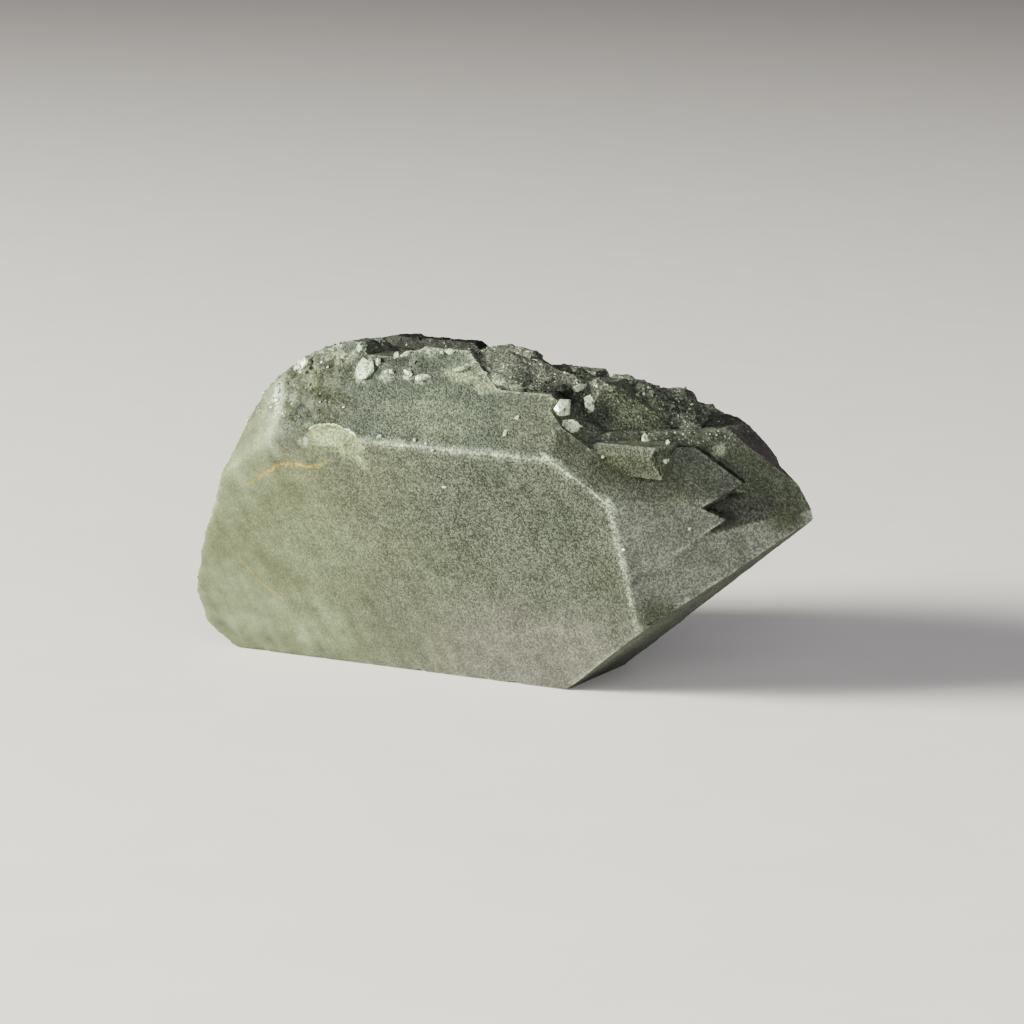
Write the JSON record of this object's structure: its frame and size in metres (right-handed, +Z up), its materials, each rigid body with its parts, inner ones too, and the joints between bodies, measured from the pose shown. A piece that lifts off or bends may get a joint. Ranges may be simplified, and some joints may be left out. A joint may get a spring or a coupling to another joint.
{
  "type": "chlorite quartz crystal",
  "caption": "Grey-green quartz crystal lying on a prism face, with a point at one end, stepped growth layers, a rough top and a broken root.",
  "frame": {"origin": "on the surface that the crystal rests on, under the middle of its box", "axes": "+X along the crystal's long axis towards its point, +Z up, -Y the side of the large front prism face"},
  "size_m": [0.0856, 0.048, 0.046],
  "materials": {
    "chlorite_quartz": "satin, sugary grain, nearly opaque"
  },
  "bodies": {
    "root": {"chlorite_quartz_crystal": "chlorite_quartz"}
  },
  "joints": []
}
